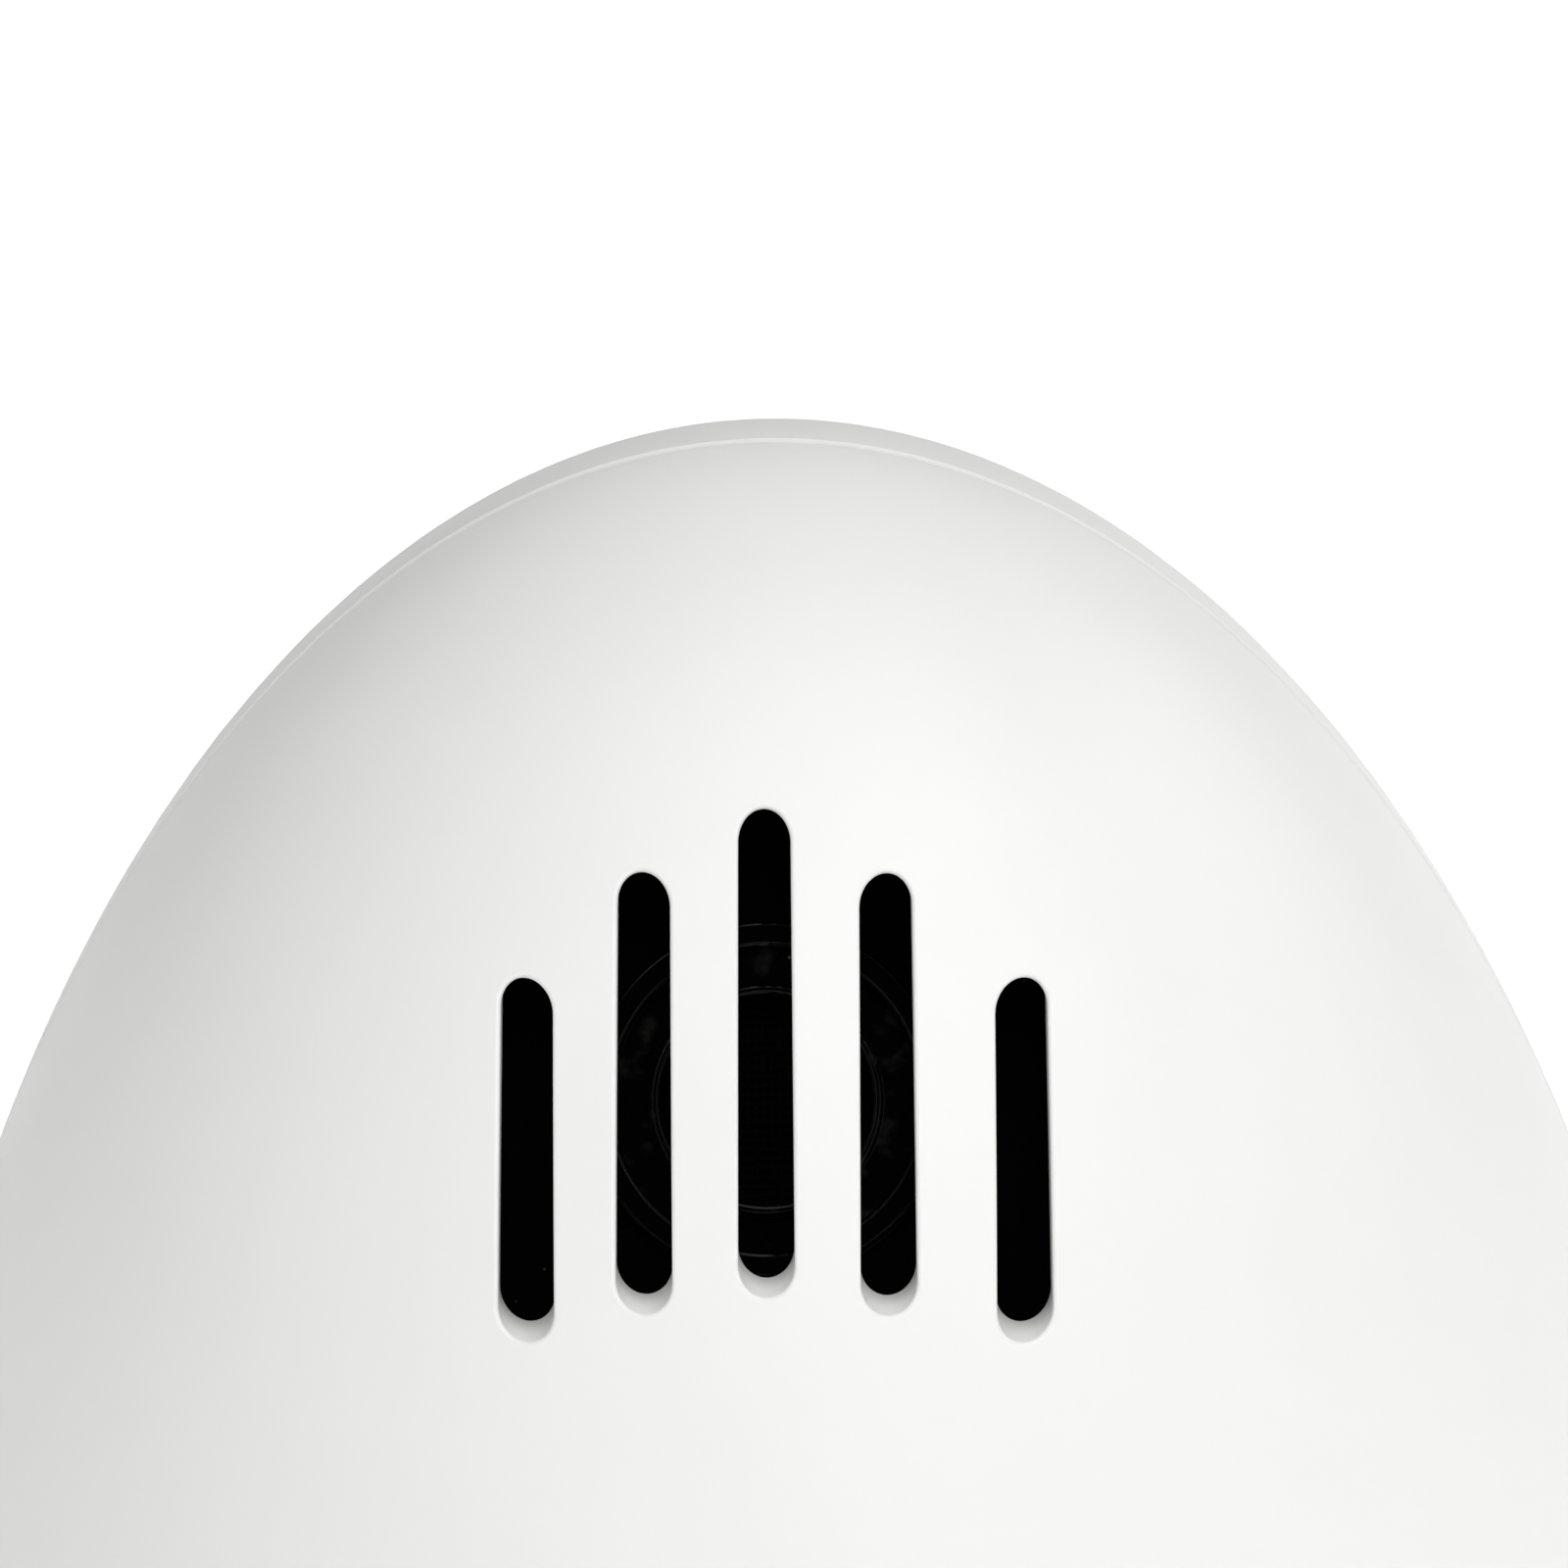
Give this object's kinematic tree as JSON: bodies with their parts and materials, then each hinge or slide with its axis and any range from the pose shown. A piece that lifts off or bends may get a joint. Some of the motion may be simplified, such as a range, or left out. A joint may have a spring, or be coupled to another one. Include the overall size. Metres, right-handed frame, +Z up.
{
  "type": "kitchen timer",
  "caption": "Egg-shaped electronic countdown kitchen timer with a slotted sounder grille, display window, push buttons, coin-cell cap and round foot.",
  "frame": {"origin": "bottom centre of the foot ring, on the surface the timer stands on", "axes": "+Z up along the egg's axis, front (slots, display and buttons) towards -Y, +X to the right seen from the front"},
  "size_m": [0.066, 0.0659, 0.0922],
  "materials": {
    "shell": "satin moulded ABS",
    "lens": "clear polished acrylic",
    "dark_foam": "matt black",
    "lcd": "grey-green reflective display",
    "frame": "plain moulded",
    "elastomer": "matt",
    "board": "solder-resist green",
    "epoxy": "cast black epoxy",
    "plated_steel": "nickel plated",
    "aluminium_can": "drawn can",
    "resistor": "chip body",
    "button": "fine-textured moulded",
    "start_button": "fine-textured moulded",
    "black_plastic": "matt moulded",
    "black_mesh": "fine acoustic mesh",
    "switch_stem": "plain moulded",
    "copper_wire": "enamelled winding",
    "magnet": "sintered ferrite",
    "foot_rubber": "matt",
    "red_sleeve": "soft sleeve",
    "black_sleeve": "soft sleeve"
  },
  "bodies": {
    "case": {"front_shell": "shell", "rear_shell": "shell", "display_lens": "lens", "lens_adhesive": "dark_foam", "display_shroud": "dark_foam", "lcd_panel": "lcd", "upper_contact_strip": "elastomer", "lower_contact_strip": "elastomer", "lcd_frame": "frame", "main_board": "board", "timer_chip": "epoxy", "clock_crystal": "plated_steel", "capacitor": "aluminium_can", "resistors": "resistor", "minute_switch_case": "black_plastic", "start_stop_switch_case": "black_plastic", "second_switch_case": "black_plastic", "sounder_mount": "black_plastic", "sounder_screen": "black_mesh", "sounder_case": "black_plastic", "sounder_diaphragm": "plated_steel", "sounder_coil": "copper_wire", "sounder_magnet": "magnet", "sounder_core": "plated_steel", "coin_cell": "plated_steel", "negative_contact": "plated_steel", "positive_contact": "plated_steel", "foot_ring": "foot_rubber", "case_screws": "plated_steel", "board_screws": "plated_steel", "sounder_screws": "plated_steel", "sounder_lead_left": "black_sleeve", "sounder_lead_right": "red_sleeve", "battery_lead_negative": "black_sleeve", "battery_lead_positive": "red_sleeve"},
    "minute_key": {"minute_button": "button", "minute_switch_plunger": "switch_stem"},
    "start_stop_key": {"start_stop_button": "start_button", "start_stop_switch_plunger": "switch_stem"},
    "second_key": {"second_button": "button", "second_switch_plunger": "switch_stem"},
    "battery_door": {"battery_cap": "shell", "cap_seal": "foot_rubber"}
  },
  "joints": [
    {"name": "minute_press", "type": "slide", "parent": "case", "child": "minute_key", "axis": [0, 1, 0], "range_m": [0, 0.0005], "stiffness_N_per_m": 600, "springref_m": -0.001},
    {"name": "start_stop_press", "type": "slide", "parent": "case", "child": "start_stop_key", "axis": [0, 1, 0], "range_m": [0, 0.0005], "stiffness_N_per_m": 600, "springref_m": -0.001},
    {"name": "second_press", "type": "slide", "parent": "case", "child": "second_key", "axis": [0, 1, 0], "range_m": [0, 0.0005], "stiffness_N_per_m": 600, "springref_m": -0.001},
    {"name": "battery_cap_turn", "type": "hinge", "parent": "case", "child": "battery_door", "pos_m": [0, 0.029, 0.033], "axis": [0, 1, 0], "range_deg": [0, 45]}
  ]
}
